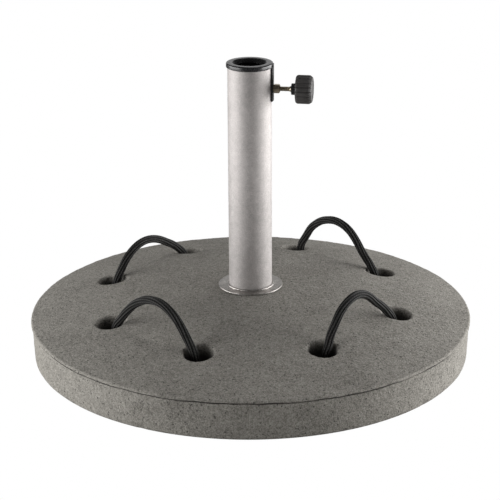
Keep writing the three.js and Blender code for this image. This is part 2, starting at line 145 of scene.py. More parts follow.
def outline(corners, steps=5, closed=False):
    """A profile with rounded corners. A corner is (radius, height) or (radius, height, rounding)."""
    points = []
    count = len(corners)
    for i, corner in enumerate(corners):
        here = Vector(corner[:2])
        rounding = corner[2] if len(corner) > 2 else 0
        if not rounding or (not closed and i in (0, count - 1)):
            points.append(tuple(here))
            continue
        before = (Vector(corners[i - 1][:2]) - here).normalized()
        after = (Vector(corners[(i + 1) % count][:2]) - here).normalized()
        half = before.angle(after) / 2
        centre = here + (before + after).normalized() * (rounding / math.sin(half))
        first = here + before * (rounding / math.tan(half)) - centre
        last = here + after * (rounding / math.tan(half)) - centre
        sweep = first.angle_signed(last)
        for k in range(steps + 1):
            points.append(tuple(centre + Matrix.Rotation(-sweep * k / steps, 2) @ first))
    return points


def turned(profile, segments=96, radius_at=None):
    """A body turned about Z. The profile starts and ends on the axis, or closes on itself."""
    shell = Shell()
    angles = np.arange(segments) * TAU / segments
    loops = []
    for radius, height in profile:
        if radius < 1e-9:
            loops.append(shell.loop([(0, 0, height)]))
            continue
        radii = radius_at(radius, height, angles) if radius_at else np.full(segments, radius)
        loops.append(shell.loop(zip(radii * np.cos(angles), radii * np.sin(angles),
                                    np.full(segments, height))))
    shell.chain(loops, closed=profile[0][0] > 1e-9)
    return shell.mesh()


def add_object(name, mesh, material, smooth=35):
    mesh.name = name
    mesh.polygons.foreach_set("use_smooth", [True] * len(mesh.polygons))
    mesh.set_sharp_from_angle(angle=math.radians(smooth))
    mesh.materials.append(material)
    return placed(name, mesh)


def add_piece(name, node, mesh, material, smooth=35, body="base"):
    """A finished piece that rides on a body and stands for one CAD node."""
    piece = add_object(name, mesh, material, smooth)
    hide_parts(node)
    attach(piece, body)


def combined(mesh, others, operation):
    """The mesh joined with, or cut by, the other meshes."""
    target = placed("target", mesh)
    tools = []
    for other in others:
        tool = placed("tool", other)
        modifier = target.modifiers.new("cut", "BOOLEAN")
        modifier.object = tool
        modifier.operation = operation
        modifier.solver = "EXACT"
        tools.append(tool)
    bpy.context.view_layer.update()
    evaluated = target.evaluated_get(bpy.context.evaluated_depsgraph_get())
    result = bpy.data.meshes.new_from_object(evaluated)
    for thing in [target, *tools]:
        bpy.data.objects.remove(thing)
    return result


def moved(mesh, matrix):
    mesh.transform(matrix)
    return mesh


def block(size, rounding, matrix):
    """A block with rounded edges, unless the rounding is 0, moved from its middle by the matrix."""
    mesh = bpy.data.meshes.new("block")
    work = bmesh.new()
    bmesh.ops.create_cube(work, size=1)
    bmesh.ops.scale(work, vec=size, verts=work.verts)
    if rounding:
        bmesh.ops.bevel(work, geom=work.edges, offset=rounding, segments=2, profile=0.5, affect="EDGES")
    work.to_mesh(mesh)
    work.free()
    return moved(mesh, matrix)


# ---- materials

class Graph:
    """A material's nodes, joined as they are made."""

    def __init__(self, name, **inputs):
        self.material = bpy.data.materials.new(name)
        self.material.use_nodes = True
        self.tree = self.material.node_tree
        self.shader = self.tree.nodes["Principled BSDF"]
        self.fill(self.shader, inputs)
        self.place = self.tree.nodes.new("ShaderNodeTexCoord").outputs["Object"]

    def node(self, kind, **inputs):
        return self.fill(self.tree.nodes.new(kind), inputs)

    def fill(self, node, inputs):
        for socket, value in inputs.items():
            self.put(node.inputs[socket.replace("_", " ")], value)
        return node

    def put(self, socket, value):
        if isinstance(value, bpy.types.NodeSocket):
            self.tree.links.new(value, socket)
        else:
            socket.default_value = value

    def noise(self, size, detail):
        """Soft noise whose features are about that size."""
        node = self.node("ShaderNodeTexNoise", Vector=self.place, Scale=1 / size, Detail=detail)
        return node.outputs["Fac"]

    def spots(self, spacing):
        """Distance from the nearest of scattered points, in units of their spacing."""
        return self.node("ShaderNodeTexVoronoi", Vector=self.place, Scale=1 / spacing).outputs["Distance"]

    def stored(self, name):
        """The value that the mesh holds at each point under that name."""
        node = self.tree.nodes.new("ShaderNodeAttribute")
        node.attribute_name = name
        return node.outputs["Fac"]

    def upright(self, vector):
        return self.node("ShaderNodeSeparateXYZ", Vector=vector).outputs["Z"]

    def scaled(self, value, low, high, to_low=0.0, to_high=1.0):
        node = self.node("ShaderNodeMapRange", Value=value, From_Min=low, From_Max=high,
                         To_Min=to_low, To_Max=to_high)
        return node.outputs["Result"]

    def maths(self, operation, a, b):
        node = self.tree.nodes.new("ShaderNodeMath")
        node.operation = operation
        self.put(node.inputs[0], a)
        self.put(node.inputs[1], b)
        return node.outputs[0]

    def weighted(self, *parts):
        """The sum of the values, each times its weight."""
        total = 0.0
        for value, weight in parts:
            total = self.maths("ADD", total, self.maths("MULTIPLY", value, weight))
        return total

    def blended(self, factor, a, b):
        node = self.tree.nodes.new("ShaderNodeMix")
        node.data_type = "RGBA"
        self.put(node.inputs[0], factor)
        self.put(node.inputs[6], a)
        self.put(node.inputs[7], b)
        return node.outputs[2]

    def colour(self, value):
        self.put(self.shader.inputs["Base Color"], value)

    def rough(self, value, low, high):
        self.put(self.shader.inputs["Roughness"], self.scaled(value, 0.3, 0.7, low, high))

    def bump(self, height, distance, strength):
        node = self.node("ShaderNodeBump", Height=height, Distance=distance, Strength=strength)
        self.put(self.shader.inputs["Normal"], node.outputs["Normal"])


def grey(level, warmth=1.0):
    """A grey in linear light, a little warm like weathered cement."""
    return (level * (1 + 0.045 * warmth), level, level * (1 - 0.085 * warmth), 1)


def concrete_material():
    """Grey cement with sand and grit in it, scattered pale grains and dark pores, and painted shade in the
    rope holes and the groove.
    """
    graph = Graph("concrete", Specular_IOR_Level=0.2)
    clouds = graph.noise(0.07, 3)
    patches = graph.noise(0.014, 3)
    sand = graph.noise(0.0036, 3)
    grit = graph.noise(0.0015, 2)
    tone = 0.0
    for layer, weight in ((clouds, 0.10), (patches, 0.10), (sand, 0.26), (grit, 0.52)):
        tone = graph.maths("ADD", tone, graph.scaled(layer, 0.3, 0.7, -weight, weight))
    body = graph.blended(graph.scaled(tone, -0.7, 0.7), grey(0.125, 1.3), grey(0.42, 1.1))
    grains = graph.scaled(graph.spots(0.0048), 0.08, 0.14, 0.45, 0.0)
    body = graph.blended(grains, body, grey(0.55, 0.8))
    pores = graph.scaled(graph.spots(0.0062), 0.12, 0.19, 0.85, 0.0)
    body = graph.blended(pores, body, grey(0.07))
    # painted shade: darker where the mesh's shade value is high, down the rope holes and along the groove
    graph.colour(graph.blended(graph.stored("shade"), body, grey(0.045)))
    graph.rough(sand, 0.85, 0.98)
    graph.bump(graph.weighted((sand, 1.0), (grit, 0.6), (pores, -0.9)), 0.0010, 0.6)
    return graph.material


def steel_material(name, dark, light, smooth, dull, level_face_shade=0.0):
    """Satin stainless steel with a fine grain, with a painted reflection of the dark concrete darkening it
    towards its foot and, by its last argument, painted shade on level faces.
    """
    graph = Graph(name, Metallic=0.85)
    grain = graph.noise(0.0013, 2)
    mottle = graph.noise(0.007, 3)
    stains = graph.noise(0.045, 3)
    tone = graph.weighted((grain, 0.45), (mottle, 0.25), (stains, 0.3))
    # painted reflection: darker towards the foot, standing in for the dark concrete reflected there
    tone = graph.maths("SUBTRACT", tone, graph.scaled(graph.upright(graph.place), 0.09, 0.24, 0.07, 0.0))
    graph.rough(tone, smooth, dull)
    upward = graph.upright(graph.node("ShaderNodeNewGeometry").outputs["Normal"])
    # painted shade: level faces darker by the last argument, as on the flange's top face
    tone = graph.maths("SUBTRACT", tone, graph.scaled(upward, 0.85, 0.97, 0.0, level_face_shade))
    graph.colour(graph.blended(graph.scaled(tone, 0.35, 0.65), dark, light))
    graph.bump(grain, 0.00012, 0.5)
    return graph.material


def zinc_material():
    """Yellow-brown plated steel."""
    graph = Graph("zinc", Metallic=1.0)
    tarnish = graph.noise(0.004, 4)
    graph.colour(graph.blended(graph.scaled(tarnish, 0.3, 0.7), (0.36, 0.31, 0.23, 1), (0.56, 0.50, 0.39, 1)))
    graph.rough(tarnish, 0.30, 0.48)
    graph.bump(graph.noise(0.0006, 2), 0.00005, 0.5)
    return graph.material


def moulded_material(name, dark, light, gloss, dull, grain, depth):
    """Moulded plastic or rubber with a fine grain and slight scuffing."""
    graph = Graph(name)
    scuffs = graph.noise(0.012, 4)
    skin = graph.noise(grain, 2)
    mixed = graph.weighted((scuffs, 0.5), (skin, 0.5))
    graph.colour(graph.blended(graph.scaled(mixed, 0.35, 0.65), dark, light))
    graph.rough(mixed, gloss, dull)
    graph.bump(skin, depth, 0.6)
    return graph.material


def rope_material():
    """Charcoal braid: each rib's crest is paler than its valleys, as wear on the crests and painted shade in
    the valleys and stitches.
    """
    graph = Graph("rope", Sheen_Weight=0.04, Sheen_Roughness=0.4, Specular_IOR_Level=0.22)
    fibres = graph.noise(0.0007, 3)
    wear = graph.noise(0.012, 3)
    crest = graph.scaled(graph.stored("crest"), 0.45, 0.95)
    tone = graph.maths("MULTIPLY", crest, graph.scaled(wear, 0.3, 0.7, 0.45, 1.0))
    tone = graph.maths("ADD", tone, graph.scaled(fibres, 0.3, 0.7, -0.12, 0.12))
    # painted shade: near black in the rib valleys and stitches, paler on the worn crests
    graph.colour(graph.blended(tone, (0.0015, 0.0015, 0.0015, 1), (0.074, 0.072, 0.068, 1)))
    graph.rough(fibres, 0.55, 0.8)
    graph.bump(fibres, 0.00025, 0.8)
    return graph.material


# ---- rope handles

ROPE_RADIUS = 5.25 * MM
ROPE_RIBS = 9
RIB_POINTS = 8
RIB_DEPTH = 1.25 * MM
STITCH_DEPTH = 0.16 * MM
STITCH_LENGTH = 3.4 * MM
ROPE_STEP = 0.85 * MM
ROPE_LAY = TAU / 0.45  # the ribs turn once in 0.45 m of rope
HINGE_LIFT = 8  # the fold line's height in the routes below, which are in millimetres
# Each rope's route in points (across, up) from the middle of its two holes and the surface there: down
# in the holes, wide or tight against each lip, and over in an arch of its own
ROPE_IN_HOLE = [(71.9, -52), (71.9, -40), (71.3, -28), (69.2, -17), (65.8, -8)]
LIP_WIDE = (61.5, 0.5)
LIP_TIGHT = (57.9, 3.8)
HANDLES = {
    "back_right": (LIP_TIGHT, LIP_WIDE, [
        (-54.4, 8), (-47.6, 15.2), (-38.6, 26.6), (-26.8, 40.3), (-12.5, 50.2), (1, 53.4),
        (14.5, 52.3), (32, 44.6), (43.5, 34.2), (52.5, 20.6), (59.6, 8)]),
    "back_left": (LIP_TIGHT, LIP_WIDE, [
        (-53, 8), (-44.5, 14.8), (-30.6, 23.2), (-17, 30.4), (-2, 35.4), (10, 36.6),
        (22, 34.8), (34, 29.6), (46.4, 19.8), (56.2, 8)]),
    "front_left": (LIP_WIDE, LIP_WIDE, [
        (-55.4, 8), (-47.1, 18.1), (-34, 31), (-19.4, 40.4), (-4, 45.3), (8, 45.6),
        (21.7, 41.9), (34, 33.9), (46.1, 21.3), (56.3, 8)]),
    "front_right": (LIP_WIDE, LIP_TIGHT, [
        (-59, 8), (-49.2, 23), (-40, 34.8), (-29.1, 42.6), (-15, 47.2), (-3, 46.8),
        (12.3, 40.6), (28, 28.6), (46.4, 14.6), (53.3, 8)]),
}
KNOT_RING = 9.5 * MM
KNOT_SWING = 4.6 * MM
KNOT_ROPE = 4.2 * MM
KNOT_REACH = 8 * MM  # a knot's top lies this far above the end of its rope


def smooth_path(points, step):
    """Points about a step apart on the natural cubic spline through the given points."""
    points = np.array(points, float)
    along = np.concatenate([[0], np.cumsum(np.linalg.norm(np.diff(points, axis=0), axis=1))])
    gaps = np.diff(along)
    count = len(points)
    system = np.eye(count)
    right = np.zeros((count, 3))
    for i in range(1, count - 1):
        system[i, i - 1:i + 2] = gaps[i - 1], 2 * (gaps[i - 1] + gaps[i]), gaps[i]
        right[i] = 6 * ((points[i + 1] - points[i]) / gaps[i] - (points[i] - points[i - 1]) / gaps[i - 1])
    bend = np.linalg.solve(system, right)
    at = np.linspace(0, along[-1], math.ceil(along[-1] / step) + 1)
    k = np.clip(np.searchsorted(along, at, side="right") - 1, 0, count - 2)
    gap = gaps[k][:, None]
    b = ((at - along[k])[:, None]) / gap
    a = 1 - b
    return a * points[k] + b * points[k + 1] + ((a**3 - a) * bend[k] + (b**3 - b) * bend[k + 1]) * gap**2 / 6


def carried_frames(path, closed=False):
    """Two directions across the path at each point, carried along it without twist."""
    if closed:
        tangents = np.roll(path, -1, axis=0) - np.roll(path, 1, axis=0)
    else:
        tangents = np.gradient(path, axis=0)
    tangents /= np.linalg.norm(tangents, axis=1)[:, None]
    side = np.cross(tangents[0], (0.31, 0.17, 0.93) if abs(tangents[0][2]) < 0.9 else (1, 0, 0))
    sides = []
    for tangent in tangents:
        side = side - tangent * (side @ tangent)
        side /= np.linalg.norm(side)
        sides.append(side)
    sides = np.array(sides)
    return sides, np.cross(tangents, sides)


def rope_mesh(path, radius, closed=False):
    """A ribbed, stitched rope along a path. It stores how far each point is towards a rib's crest, which the
    rope's colour uses for painted shade in the valleys.
    """
    side, up = carried_frames(path, closed)
    count = ROPE_RIBS * RIB_POINTS
    along = np.concatenate([[0], np.cumsum(np.linalg.norm(np.diff(path, axis=0), axis=1))])
    turns = np.arange(count) / RIB_POINTS  # which rib, and how far across it
    rib = np.floor(turns)
    across = turns - rib
    ridge = np.sin(math.pi * across) ** 1.1
    slant = np.where(rib % 2 == 0, 1.0, -1.0) * (across - 0.5)
    phase = along[:, None] / STITCH_LENGTH + slant * 0.9 + (rib % 2) * 0.5
    stitch = np.abs(np.sin(math.pi * phase)) ** 0.7
    size = radius / ROPE_RADIUS
    depth = RIB_DEPTH * (1 - ridge) + STITCH_DEPTH * (1 - stitch) * ridge
    radii = radius - depth * size
    twist = seam_turn(side, up) if closed else ROPE_LAY * along
    angles = TAU * np.arange(count) / count + twist[:, None]
    rings = (path[:, None, :]
             + (radii * np.cos(angles))[:, :, None] * side[:, None, :]
             + (radii * np.sin(angles))[:, :, None] * up[:, None, :])
    shell = Shell()
    loops = [shell.loop(ring) for ring in rings]
    # how far towards an unstitched crest, for the painted shade in the valleys and stitches
    crests = [(ridge * (0.45 + 0.55 * row)).tolist() for row in stitch]
    if closed:
        shell.chain(loops, closed=True)
    else:
        tips = [shell.loop([path[0]]), shell.loop([path[-1]])]
        shell.chain([tips[0], *loops, tips[1]])
        crests.append([0.2, 0.2])
    mesh = shell.mesh()
    crest = mesh.attributes.new("crest", "FLOAT", "POINT")
    crest.data.foreach_set("value", np.concatenate(crests).astype(np.float32))
    return mesh


def seam_turn(side, up):
    """How far to turn each ring of a closed rope, so that the last ring meets the first."""
    gap = math.atan2(side[0] @ up[-1], side[0] @ side[-1])
    return gap * np.arange(len(side)) / len(side)


class Handle:
    """Where one rope handle stands: its fold line and the two holes that it joins."""

    def __init__(self, name):
        self.name = name
        self.body = f"handle_{name}"
        joint = joints[f"{self.body}_fold"]
        self.fold = Vector(joint["pos_m"])
        self.along = Vector(joint["axis"])

    def point(self, across, up):
        return self.fold + self.along * (across * MM) + Vector((0, 0, (up - HINGE_LIFT) * MM))

    def route(self):
        """The rope's points from one knot, up, over and down to the other."""
        first, last, arch = HANDLES[self.name]
        up = [(-across, rise) for across, rise in [*ROPE_IN_HOLE, first]]
        down = [last, *reversed(ROPE_IN_HOLE)]
        return [self.point(across, rise) for across, rise in [*up, *arch, *down]]


def stopper_knot(name, top, material):
    """A tight overhand knot under the disc, with the rope's short tail."""
    turn = np.linspace(0, TAU, 140, endpoint=False)
    ring = KNOT_RING + KNOT_SWING * np.cos(3 * turn)
    middle = top - (0, 0, KNOT_SWING + KNOT_ROPE)
    path = middle + np.stack([ring * np.cos(2 * turn), ring * np.sin(2 * turn),
                              -KNOT_SWING * np.sin(3 * turn)], axis=1)
    knot = add_object(name, rope_mesh(path, KNOT_ROPE, closed=True), material, 60)
    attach(knot, "base")
    return knot


def rope_handle(name, material):
    handle = Handle(name)
    ends = [f"rope_end_{name}_a", f"rope_end_{name}_b"]
    path = smooth_path(handle.route(), ROPE_STEP)
    rope = add_object(f"rope_{name}", rope_mesh(path, ROPE_RADIUS), material, 60)
    for side, end in (("a", path[0]), ("b", path[-1])):
        stopper_knot(f"knot_{name}_{side}", end + (0, 0, KNOT_REACH), material)
    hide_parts(f"rope_arch_{name}", *ends)
    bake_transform(rope)


# ---- concrete disc

DISC_LOW, DISC_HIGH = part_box("concrete_disc")
DISC_RADIUS = DISC_HIGH.x
UNDERSIDE = DISC_LOW.z
SEAT_HEIGHT = DISC_HIGH.z
DOME_TOP = SEAT_HEIGHT + 0.8 * MM
DOME_DROP = 34.2 * MM
SEAT_RADIUS = 41.5 * MM
EDGE_ROUND = 3 * MM
SIDE_RADIUS = DISC_RADIUS - 1.5 * MM
FOOT_OF_SIDE = SIDE_RADIUS - 1.5 * MM
BOTTOM_ROUND = 3 * MM
# The mesh has rings of SEGMENTS points outside FINE_FROM, of half as many to MEDIUM_FROM, then a quarter
SEGMENTS = 640
RING_GAP = 2.7 * MM
FINE_FROM = 100 * MM
MEDIUM_FROM = 60 * MM
MEDIUM_RINGS = 14
SIDE_STEPS = 14
# The groove under the rounded edge, in millimetres: (back from the disc's radius, up from the rounding)
GROOVE = [(0.1, -0.3), (0.7, -0.7), (3.4, -0.8), (4.0, -1.4), (3.5, -2.0), (1.9, -2.3), (1.4, -2.8)]
GROOVE_WAVE = 0.16 * MM
GROOVE_WAVES = (5, 9, 14, 23, 37, 58)  # how many times each wave goes round the disc
HOLE_COUNT = 8
HOLE_REACH = 16  # a hole's patch spans this many segments on each side
PATCH_RADIUS = 30 * MM
# The wall of a rope hole from its lip down, in millimetres: (radius, depth)
HOLE_WALL = [(20.6, 0), (19.8, 0.2), (19.0, 0.7), (18.4, 1.5), (17.95, 3.0), (17.5, 5.5), (17.0, 9),
             (16.3, 12.5), (15.4, 16), (14.2, 19.2), (12.4, 22), (10.4, 24.6), (8.7, 27), (7.8, 29.5),
             (7.5, 33), (7.5, 42), (8.2, 43.5)]
# painted shade: the concrete is painted darker down a rope hole, to this depth
SHADE_DEPTH = 16 * MM  # the concrete darkens down to this depth in a hole
POCKET_RADIUS = 20 * MM
POCKET_ROOF = UNDERSIDE + 24 * MM
SOCKET_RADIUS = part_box("pole_tube")[1].x + 0.45 * MM
SOCKET_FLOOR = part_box("pole_tube")[0].z - GAP
BOLT_HOLE_RADIUS = 6.6 * MM
COUNTERBORE_RADIUS = 32 * MM
COUNTERBORE_ROOF = 24 * MM
FOOT_NODES = [f"foot_pad_{i}" for i in (1, 2, 3, 4)]
FOOT_SINK = 2 * MM


def dome(radius):
    return DOME_TOP - DOME_DROP * (radius / DISC_RADIUS) ** 2


def hole_places():
    """The middles of the rope holes, found from the handles' fold lines, in order of angle."""
    places = []
    for name in HANDLES:
        handle = Handle(name)
        middle = handle.fold.xy
        half = middle.length * math.tan(TAU / HOLE_COUNT / 2)
        for side in (-1, 1):
            places.append(middle + handle.along.xy * half * side)
    return sorted(places, key=lambda place: math.atan2(place.y, place.x) % TAU)


class Disc:
    """The concrete disc as one closed mesh, with finer rings where the surface is seen most."""

    def __init__(self):
        self.shell = Shell()
        self.holes = hole_places()
        self.phase = math.atan2(self.holes[0].y, self.holes[0].x)
        self.under = []  # loops in the flat underside

    def circle(self, radius, height, count=SEGMENTS, centre=(0, 0), phase=None):
        turn = (self.phase if phase is None else phase) + np.arange(count) * TAU / count
        x = centre[0] + radius * np.cos(turn)
        y = centre[1] + radius * np.sin(turn)
        return self.shell.loop(zip(x, y, np.broadcast_to(height, count)))

    def build(self):
        top = self.top()
        self.edge(top)
        self.middle(top[0])
        for k in range(HOLE_COUNT):
            self.hole(top, k)
        for node in FOOT_NODES:
            self.foot_recess(node)
        self.underside()
        return self.shell.mesh()

    def top(self):
        """The fine rings of the dome, less the patch around each hole."""
        outer = DISC_RADIUS - EDGE_ROUND
        count = round((outer - FINE_FROM) / RING_GAP)
        radii = [FINE_FROM + (outer - FINE_FROM) * i / count for i in range(count + 1)]
        hole_circle = self.holes[0].length
        self.patch = [round((hole_circle + side * PATCH_RADIUS - FINE_FROM) / (outer - FINE_FROM) * count)
                      for side in (-1, 1)]
        rings = [self.circle(radius, dome(radius)) for radius in radii]
        spacing = SEGMENTS // HOLE_COUNT
        for j in range(count):
            in_band = self.patch[0] <= j < self.patch[1]
            for i in range(SEGMENTS):
                if in_band and (i + HOLE_REACH) % spacing < 2 * HOLE_REACH:
                    continue
                ahead = (i + 1) % SEGMENTS
                a, b = rings[j], rings[j + 1]
                self.shell.faces.append((a[i], a[ahead], b[ahead], b[i]))
        return rings

    def edge(self, top):
        """The rounded edge, the groove under it, the side wall and the rounded foot."""
        turn = np.arange(SEGMENTS) * TAU / SEGMENTS
        wave = sum(GROOVE_WAVE * np.cos(n * turn + phase)
                   for n, phase in zip(GROOVE_WAVES, random.uniform(0, TAU, len(GROOVE_WAVES))))
        centre = DISC_RADIUS - EDGE_ROUND
        height = dome(centre) - EDGE_ROUND
        loops = [top[-1]]
        for angle in (72, 54, 36, 18, 4):
            a = math.radians(angle)
            loops.append(self.circle(centre + EDGE_ROUND * math.cos(a), height + EDGE_ROUND * math.sin(a)))
        for back, up in GROOVE:
            loops.append(self.circle(DISC_RADIUS - back * MM, height + up * MM + wave))
        low = UNDERSIDE + BOTTOM_ROUND
        high = height - 4.0 * MM
        for i in range(SIDE_STEPS + 1):
            share = i / SIDE_STEPS
            radius = SIDE_RADIUS + (FOOT_OF_SIDE - SIDE_RADIUS) * share
            loops.append(self.circle(radius, high + (low - high) * share))
        for angle in (30, 60):
            a = math.radians(angle)
            back = BOTTOM_ROUND * (1 - math.cos(a))
            loops.append(self.circle(FOOT_OF_SIDE - back, low - BOTTOM_ROUND * math.sin(a)))
        self.shell.chain(loops)
        foot = self.circle(FOOT_OF_SIDE - BOTTOM_ROUND, UNDERSIDE, SEGMENTS // 2)
        self.shell.halve(loops[-1], foot)
        self.under.append(foot)

    def middle(self, fine):
        """From the fine rings in to the seat, the tube's socket, the bolt hole and the counterbore."""
        radii = np.linspace(FINE_FROM, MEDIUM_FROM, MEDIUM_RINGS + 1)[1:]
        rings = [self.circle(radius, dome(radius), SEGMENTS // 2) for radius in radii]
        self.shell.halve(fine, rings[0])
        self.shell.chain(rings)
        count = SEGMENTS // 4
        start = SEAT_RADIUS + 1.5 * MM
        radii = np.linspace(MEDIUM_FROM - 3 * MM, start, 6)
        loops = [self.circle(radius, dome(radius), count) for radius in radii]
        self.shell.halve(rings[-1], loops[0])
        for radius, height in (
            (SEAT_RADIUS, SEAT_HEIGHT), (SOCKET_RADIUS, SEAT_HEIGHT), (SOCKET_RADIUS, SOCKET_FLOOR),
            (BOLT_HOLE_RADIUS, SOCKET_FLOOR), (BOLT_HOLE_RADIUS, COUNTERBORE_ROOF),
            (COUNTERBORE_RADIUS, COUNTERBORE_ROOF), (COUNTERBORE_RADIUS, UNDERSIDE),
        ):
            loops.append(self.circle(radius, height, count))
        self.shell.chain(loops)
        self.under.append(loops[-1])

    def hole(self, top, k):
        """Blends the patch's square edge into a round lip, then goes down the wall to the pocket."""
        first = k * SEGMENTS // HOLE_COUNT - HOLE_REACH
        last = first + 2 * HOLE_REACH
        inner, outer = self.patch
        walk = [(inner, i) for i in range(first, last)]
        walk += [(j, last) for j in range(inner, outer)]
        walk += [(outer, i) for i in range(last, first, -1)]
        walk += [(j, first) for j in range(outer, inner, -1)]
        edge = [top[j][i % SEGMENTS] for j, i in walk]
        corner = np.array([self.shell.points[i][:2] for i in edge])
        centre = np.array(self.holes[k])
        away = corner - centre
        away /= np.linalg.norm(away, axis=1)[:, None]
        lip = HOLE_WALL[0][0] * MM
        loops = [edge]
        for share in (0.2, 0.4, 0.6, 0.78, 0.91):
            place = corner + (centre + away * lip - corner) * share
            loops.append(self.on_dome(place, 0, 0))
        for radius, depth in HOLE_WALL:
            loops.append(self.on_dome(centre + away * radius * MM, depth * MM, centre))
        for radius, height in (
            (POCKET_RADIUS - 1 * MM, POCKET_ROOF), (POCKET_RADIUS, POCKET_ROOF - 1 * MM),
            (POCKET_RADIUS, UNDERSIDE + 1 * MM), (POCKET_RADIUS + 0.6 * MM, UNDERSIDE),
        ):
            place = centre + away * radius
            loops.append(self.shell.loop(zip(*place.T, np.full(len(place), height))))
        self.shell.chain(loops)
        self.under.append(loops[-1])

    def on_dome(self, place, depth, centre):
        """A loop that far below the dome: it follows the slope near the lip and is level lower down."""
        height = dome(np.linalg.norm(place, axis=1)) - depth
        if depth:
            level = dome(np.linalg.norm(centre)) - depth
            share = min(1, depth / (14 * MM))
            share = share * share * (3 - 2 * share)
            height = height + (level - height) * share
        return self.shell.loop(zip(*place.T, height))

    def foot_recess(self, node):
        low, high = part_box(node)
        centre = (low + high) / 2
        radius = (high.x - low.x) / 2 + GAP
        rim = self.circle(radius, UNDERSIDE, 48, centre, 0)
        roof = self.circle(radius, UNDERSIDE + FOOT_SINK, 48, centre, 0)
        self.shell.chain([rim, roof, self.shell.loop([(centre.x, centre.y, UNDERSIDE + FOOT_SINK)])])
        self.under.append(rim)

    def underside(self):
        """Fills the flat underside between its outer loop, the first, and the loops of the holes."""
        indices = [i for loop in self.under for i in loop]
        points = [Vector(self.shell.points[i][:2]) for i in indices]
        edges = []
        start = 0
        holes = []
        for n, loop in enumerate(self.under):
            size = len(loop)
            edges += [(start + i, start + (i + 1) % size) for i in range(size)]
            if n:
                ring = points[start:start + size]
                centre = sum(ring, Vector((0, 0))) / size
                holes.append((centre, min((p - centre).length for p in ring)))
            start += size
        verts, _, faces, originals, _, _ = delaunay_2d_cdt(points, edges, [], 1, 1e-7)
        for face in faces:
            middle = sum((verts[i] for i in face), Vector((0, 0))) / len(face)
            if all((middle - centre).length > radius * 0.99 for centre, radius in holes):
                self.shell.faces.append(tuple(indices[originals[i][0]] for i in face))


# The cast surface's unevenness: (length and height in millimetres, how many waves)
SWELLS = [(60, 0.10, 14), (24, 0.06, 20), (10, 0.05, 30), (5.5, 0.05, 40)]
PITS = 420
CALM_RADIUS = 46 * MM  # the surface is plain round the flange, and grows uneven over CALM_FADE
CALM_FADE = 14 * MM
# Chips broken out of the lower edge: angle, height, size and depth
CHIPS = [
    (math.radians(-117.5), UNDERSIDE + 1 * MM, 6 * MM, 2.2 * MM),
    (math.radians(-42.5), UNDERSIDE + 2 * MM, 6.5 * MM, 2.2 * MM),
    (math.radians(38), UNDERSIDE + 1 * MM, 5 * MM, 1.8 * MM),
    (math.radians(146), UNDERSIDE + 2 * MM, 7 * MM, 2.0 * MM),
]


def mesh_points(mesh):
    place = np.zeros(len(mesh.vertices) * 3)
    mesh.vertices.foreach_get("co", place)
    return place.reshape(-1, 3)


def shaded(mesh):
    """Stores painted shade for the concrete's colour: deeper down a rope hole, and an uneven line along the
    groove.
    """
    place = mesh_points(mesh)
    off = np.min([np.linalg.norm(place[:, :2] - np.array(hole), axis=1) for hole in hole_places()], axis=0)
    depth = dome(np.linalg.norm(place[:, :2], axis=1)) - place[:, 2]
    inside = (off < HOLE_WALL[0][0] * MM) & (place[:, 2] > POCKET_ROOF)
    up = place[:, 2] - dome(DISC_RADIUS - EDGE_ROUND) + EDGE_ROUND
    back = SIDE_RADIUS - np.linalg.norm(place[:, :2], axis=1)
    groove = (abs(up + 1.8 * MM) < 1.5 * MM) & (back > 0.3 * MM) & (back < 5 * MM)
    shade = mesh.attributes.new("shade", "FLOAT", "POINT")
    turn = np.arctan2(place[:, 1], place[:, 0])
    # uneven strength of the groove's painted shade round the disc
    groove_shade_strength = 0.7 + 0.3 * np.sin(7 * turn + 1) * np.sin(17 * turn)
    # painted shade: the groove's line, and the rope holes darker with depth
    dark = np.where(groove, groove_shade_strength, np.clip(depth / SHADE_DEPTH, 0, 1) * inside)
    shade.data.foreach_set("value", dark.astype(np.float32))
    return mesh


def weathered(mesh):
    """Gives the concrete its uneven cast surface, small pits and a few chips, outside its flat seats."""
    count = len(mesh.vertices)
    place = mesh_points(mesh)
    normal = np.zeros(count * 3, np.float32)
    mesh.vertex_normals.foreach_get("vector", normal)
    normal = normal.reshape(-1, 3)
    radius = np.linalg.norm(place[:, :2], axis=1)
    open_air = np.clip((radius - CALM_RADIUS) / CALM_FADE, 0, 1)
    open_air *= np.clip((place[:, 2] - UNDERSIDE - 0.2 * MM) / (2 * MM), 0, 1)
    swell = np.zeros(count)
    for length, height, waves in SWELLS:
        for _ in range(waves):
            direction = random.normal(size=3)
            direction /= np.linalg.norm(direction)
            wave = TAU / (length * MM * random.uniform(0.75, 1.3))
            phase = random.uniform(0, TAU)
            swell += height * MM / math.sqrt(waves / 2) * np.cos(place @ direction * wave + phase)
    for _ in range(PITS):
        near = place[random.integers(count)]
        size = random.uniform(1.8, 3.4) * MM
        depth = random.uniform(0.2, 0.7) * MM
        away = np.linalg.norm(place - near, axis=1) / size
        swell -= depth * np.clip(1 - away**2, 0, 1) ** 2
    for angle, height, size, depth in CHIPS:
        near = np.array((FOOT_OF_SIDE * math.cos(angle), FOOT_OF_SIDE * math.sin(angle), height))
        away = np.linalg.norm((place - near) / np.array((1, 1, 0.7)), axis=1) / size
        swell -= depth * np.clip(1 - away**2, 0, 1)
    place += normal * (swell * open_air)[:, None]
    mesh.vertices.foreach_set("co", place.astype(np.float32).ravel())
    mesh.update()
    return mesh


def concrete_disc(material):
    mesh = weathered(shaded(Disc().build()))
    add_piece("concrete_disc_cast", "concrete_disc", mesh, material, 40)


